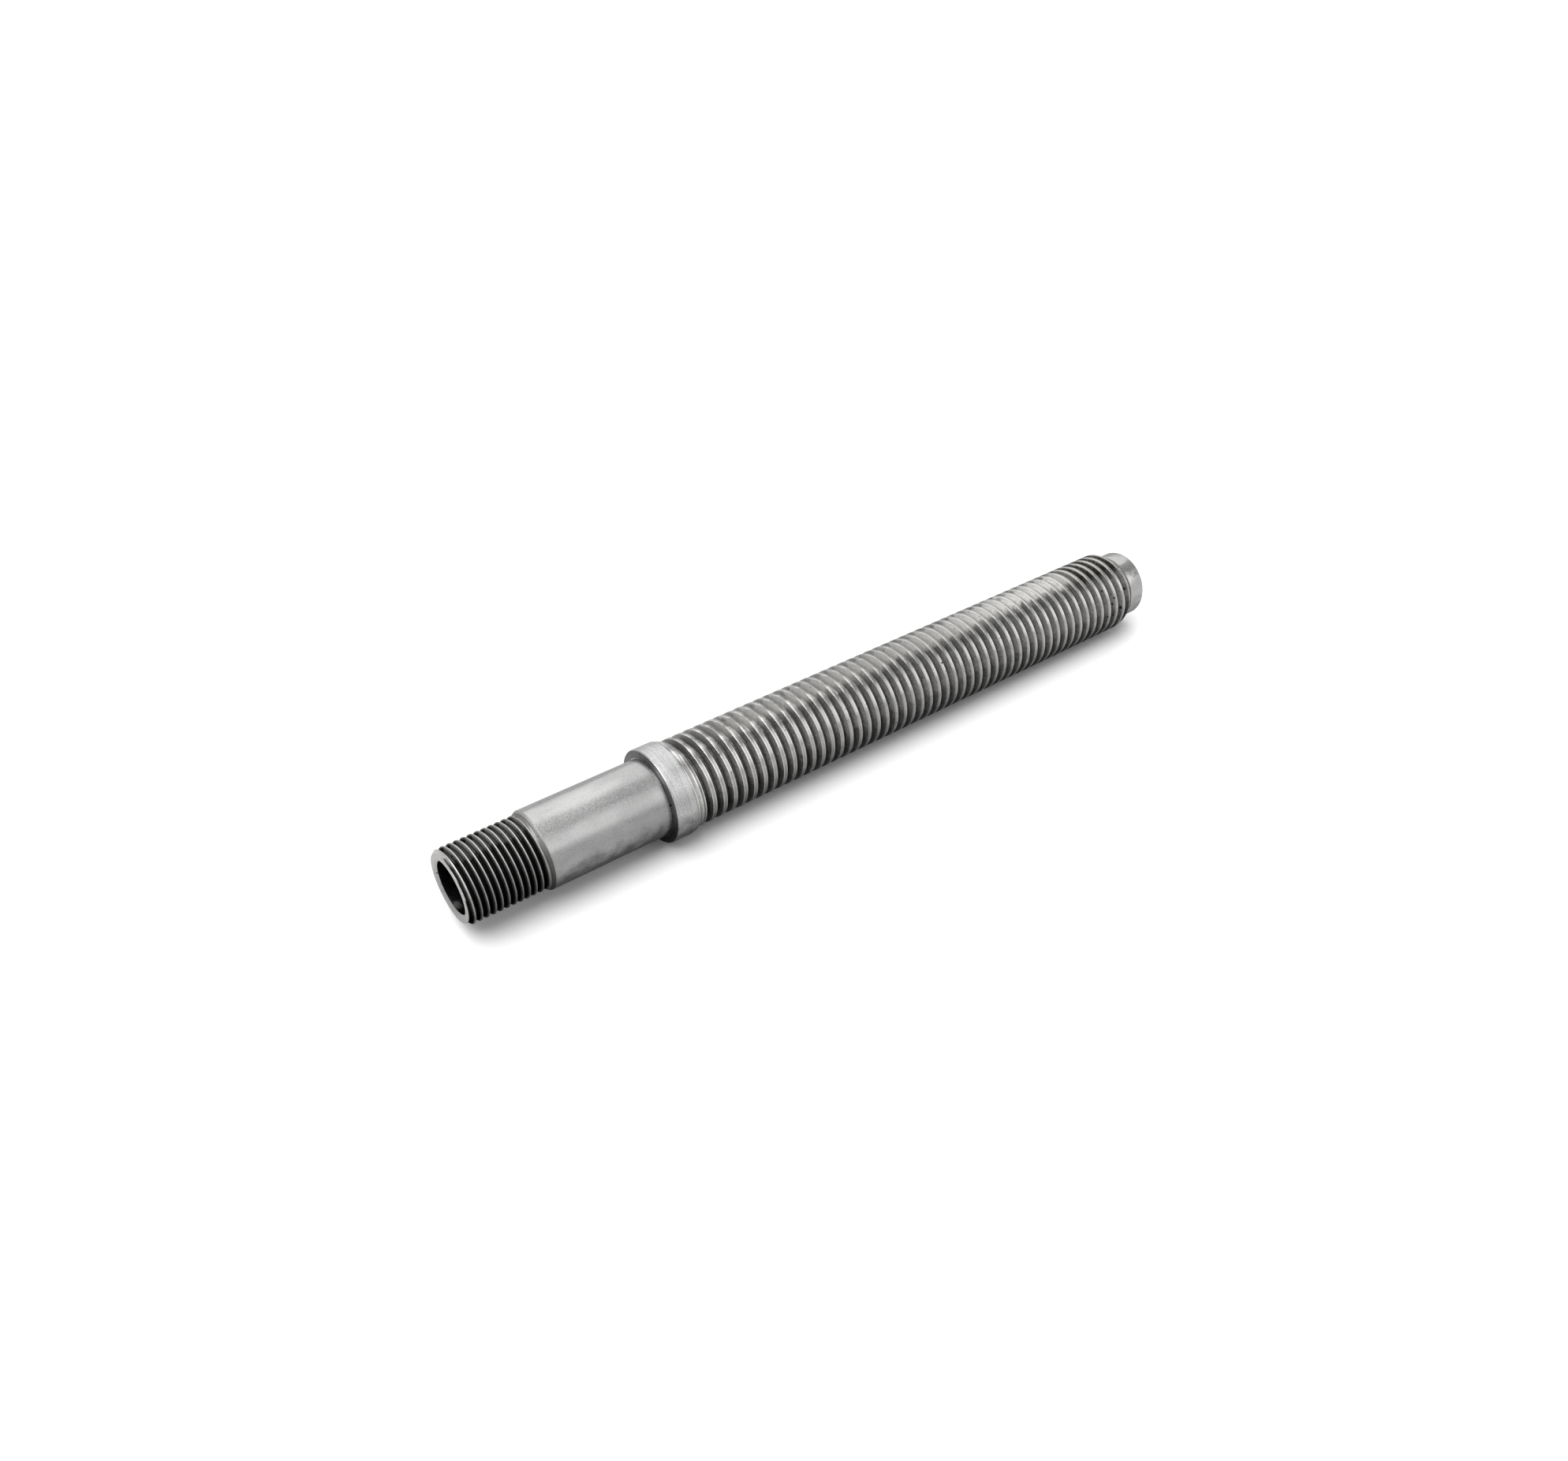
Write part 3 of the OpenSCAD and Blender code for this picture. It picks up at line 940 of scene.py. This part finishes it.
def bore_wall_shade(depths, start_angle):
    """The painted shade of the bore's wall at each depth and ray: near 1 with faint streaks, less in a
    rough pale patch of painted reflection low in the mouth, and 0 on the lip."""
    noise = np.random.default_rng(5).random((len(depths), THREAD_RAYS + 1))
    angle = np.degrees(start_angle) + 360.0 * np.arange(THREAD_RAYS + 1) / THREAD_RAYS
    away = (angle - PATCH_ANGLE + 180.0) % 360.0 - 180.0
    deeper = depths[:, None] - PATCH_DEPTH
    patch = np.exp(-((away / PATCH_SPREAD) ** 2) - (deeper / PATCH_LENGTH) ** 2)
    marks = (1 - STREAKS * noise**2) * (1 - np.clip(PATCH_STRENGTH * patch, 0, 1))
    marks[-1] = 0.0
    marks[:, -1] = marks[:, 0]
    return marks


class FEEDSCREW_OT_journal(Operator):
    """Build the ground journal"""

    bl_idname = "feedscrew.journal"
    bl_label = "Journal"

    def execute(self, context):
        j = settings().journal
        edge = -j.relief_width
        lit = edge - 0.05 * MM  # the last row of the seat's own tone, beside the dark relief
        relief = j.radius - j.relief_depth
        outline = [
            (-j.length, 0.0),
            (-j.length, j.radius),
            (lit, j.radius),
            (edge, j.radius),
            (edge * 0.8, relief),
            (0.0, relief),
            (0.0, 0.0),
        ]
        # painted shade: the relief cut's rows are dark
        stops = [(-j.length, j.radius, 1.0), (lit, j.radius, 1.0), (edge, j.radius, 0.12)]
        material = plain_steel("journal steel", j.colour, rough=0.29, grain=0.4, ring=0.3, smudge=0.18)
        return place_piece(turned_piece("journal", outline, stops), material)


class FEEDSCREW_OT_collar(Operator):
    """Build the collar"""

    bl_idname = "feedscrew.collar"
    bl_label = "Collar"

    def execute(self, context):
        c = settings().collar
        seat = settings().journal.radius
        corners = [(0.0, 0.0), (0.0, c.radius), (c.width, c.radius), (c.width, 0.0)]
        outline = rounded(corners, [c.edge, c.far_edge], steps=4)
        # on the flat face, a thin ring of painted highlight round the seat and a ring of painted shade
        # outside it
        glint_ring = [(0.0, seat + 0.02 * MM), (0.0, seat + 0.12 * MM)]
        shade_ring = [(0.0, seat + 0.18 * MM), (0.0, c.radius - 1.1 * c.edge)]
        outline = np.concatenate([outline[:1], glint_ring, shade_ring, outline[1:]])
        stops = [(*point, 1.5) for point in glint_ring] + [(*point, 0.38) for point in shade_ring]
        stops.append((c.edge, c.radius, 1.0))
        material = plain_steel(
            "collar steel", c.colour, rough=0.42, grain=0.6, ring=1.3, smudge=0.15, fineness=5000.0
        )
        return place_piece(turned_piece("collar", outline, stops), material)


# the slope beside the collar: distance past its rim and radius, in millimetres
RUN_OUT_SLOPE = ((0.0, 10.15), (0.7, 10.05), (1.05, 9.9), (1.4, 9.65))


class FEEDSCREW_OT_feed_thread(Operator):
    """Build the feed thread with its run-out beside the collar and its bevelled end"""

    bl_idname = "feedscrew.feed_thread"
    bl_label = "Feed thread"

    def execute(self, context):
        f = settings().feed
        rim = settings().collar.width
        blank = [(rim + past * MM, radius * MM) for past, radius in RUN_OUT_SLOPE]
        blank += [
            (rim + f.run_out, f.crest_radius),
            (f.end_x - f.end_bevel, f.crest_radius),
            (f.end_x, settings().spigot.radius - f.foot_step),
        ]
        bite = ((f.run_in_start, 0.0), (f.run_in_start + f.run_in, 1.0))
        points, masks = screw_grid(f, blank, bite)
        return place_piece(grid_mesh("feed_thread", points, masks), feed_steel(f.colour))


class FEEDSCREW_OT_spigot(Operator):
    """Build the plain end spigot"""

    bl_idname = "feedscrew.spigot"
    bl_label = "Spigot"

    def execute(self, context):
        s = settings().spigot
        start = settings().feed.end_x
        end = HIGH.x
        outline = [
            (start, 0.0),
            (start, s.radius),
            (end - s.edge, s.radius),
            (end - 0.3 * s.edge, s.radius - 0.3 * s.edge),
            (end, s.radius - s.edge),
            (end, 0.0),
        ]
        material = plain_steel(
            "spigot steel", s.colour, rough=0.3, grain=0.5, ring=0.4, smudge=0.2,
            under=SPIGOT_SIDES, face=s.radius - s.edge,
        )
        return place_piece(turned_piece("spigot", outline, [(end, s.radius, 1.0)]), material)


# where each lamp stands, and the angle in degrees that it fills
KEY_FROM, KEY_SPREAD = (0.48, 0.62, 0.62), 64.0
FILL_FROM, FILL_SPREAD = (0.46, -0.68, 0.57), 44.0
OVERHEAD_FROM, OVERHEAD_SPREAD = (-0.32, -0.10, 0.95), 50.0
# the camera's place in metres, its turn about X, Y and Z in degrees, and its lens in millimetres
CAMERA_PLACE = (-0.105570, -0.189223, 0.173157)
CAMERA_TURN = (50.2770, -1.1485, -39.5015)
LENS = 31.132
LENS_SHIFT = (-0.04838, 0.05403)


class FEEDSCREW_OT_stage(Operator):
    """Lay the floor and set the lamps and the camera"""

    bl_idname = "feedscrew.stage"
    bl_label = "Stage"

    def execute(self, context):
        look = settings().stage
        lay_floor(look)
        world = context.scene.world or bpy.data.worlds.new("studio")
        context.scene.world = world
        world.use_nodes = True
        back = world.node_tree.nodes["Background"]
        back.inputs["Color"].default_value = WHITE
        back.inputs["Strength"].default_value = look.surround
        add_lamp("key", look.key, KEY_FROM, KEY_SPREAD)
        add_lamp("fill", look.fill, FILL_FROM, FILL_SPREAD)
        add_lamp("overhead", look.overhead, OVERHEAD_FROM, OVERHEAD_SPREAD)
        context.scene.camera = add_camera()
        context.scene.view_settings.view_transform = "Standard"
        return {"FINISHED"}


def lay_floor(look):
    """The floor, which touches the collar's rim and the last crest of the feed thread."""
    collar, feed = settings().collar, settings().feed
    rise = (collar.radius - feed.crest_radius) / (feed.end_x - feed.end_bevel - collar.width)
    size = look.floor_size
    heights = [-collar.radius + rise * (x - collar.width) for x in (-size, size)]
    points = np.array([[(-size, y, heights[0]), (size, y, heights[1])] for y in (-size, size)])
    floor = grid_mesh("floor", points)
    material = bpy.data.materials.new("floor")
    material.use_nodes = True
    shader = material.node_tree.nodes["Principled BSDF"]
    w = Wiring(material.node_tree)
    seen = w.node("ShaderNodeLightPath").outputs["Is Camera Ray"]
    dim = tuple(look.floor_dim * c for c in look.floor_colour)
    w.feed(shader.inputs["Base Color"], w.mixed(seen, (*dim, 1.0), (*look.floor_colour, 1.0)))
    shader.inputs["Roughness"].default_value = 1.0
    shader.inputs["Specular IOR Level"].default_value = 0.0
    floor.data.materials.append(material)


def add_lamp(name, brightness, direction, degrees):
    """A soft far lamp in the given direction. degrees is the angle it fills, and its strength is
    pi times its brightness times the squared sine of half that angle."""
    spread = math.radians(degrees)
    light = bpy.data.lights.new(name, "SUN")
    light.energy = math.pi * brightness * math.sin(spread / 2) ** 2
    light.angle = spread
    obj = bpy.data.objects.new(name, light)
    bpy.context.scene.collection.objects.link(obj)
    back = np.array(direction, float)
    back /= np.linalg.norm(back)
    right = np.cross([0.0, 1.0, 0.0], back)
    right /= np.linalg.norm(right)
    up = np.cross(back, right)
    obj.matrix_world = Matrix([[*axes, 0.0] for axes in zip(right, up, back)] + [[0, 0, 0, 1]])


def add_camera():
    """The camera, above the nose's near side, with a slight shift of its lens."""
    camera = bpy.data.cameras.new("camera")
    camera.sensor_fit = "HORIZONTAL"
    camera.sensor_width = 36.0
    camera.lens = LENS
    camera.shift_x, camera.shift_y = LENS_SHIFT
    camera.clip_start, camera.clip_end = 0.01, 50.0
    eye = bpy.data.objects.new("camera", camera)
    bpy.context.scene.collection.objects.link(eye)
    eye.location = CAMERA_PLACE
    eye.rotation_euler = [math.radians(turn) for turn in CAMERA_TURN]
    return eye


OPERATORS = (
    FEEDSCREW_OT_nose,
    FEEDSCREW_OT_journal,
    FEEDSCREW_OT_collar,
    FEEDSCREW_OT_feed_thread,
    FEEDSCREW_OT_spigot,
    FEEDSCREW_OT_stage,
)


class FEEDSCREW_PT_panel(Panel):
    """Lists the pieces and their sizes"""

    bl_label = "Feed screw"
    bl_idname = "FEEDSCREW_PT_panel"
    bl_space_type = "VIEW_3D"
    bl_region_type = "UI"
    bl_category = "Feed screw"

    def draw(self, context):
        for kind in OPERATORS:
            self.layout.operator(kind.bl_idname, text=kind.bl_label)
        chosen = context.scene.feed_screw_settings
        for key, group in GROUPS.items():
            box = self.layout.box()
            box.label(text=key.capitalize())
            for item in group.__annotations__:
                box.prop(getattr(chosen, key), item)


CLASSES = (*GROUPS.values(), FeedScrewSettings, *OPERATORS, FEEDSCREW_PT_panel)


def register():
    for kind in CLASSES:
        bpy.utils.register_class(kind)
    bpy.types.Scene.feed_screw_settings = PointerProperty(type=FeedScrewSettings)


def unregister():
    del bpy.types.Scene.feed_screw_settings
    for kind in reversed(CLASSES):
        bpy.utils.unregister_class(kind)


def main():
    """Builds every piece in order."""
    register()
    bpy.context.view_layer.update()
    bpy.ops.feedscrew.nose()
    bpy.ops.feedscrew.journal()
    bpy.ops.feedscrew.collar()
    bpy.ops.feedscrew.feed_thread()
    bpy.ops.feedscrew.spigot()
    bpy.ops.feedscrew.stage()


if __name__ == "__main__":
    main()
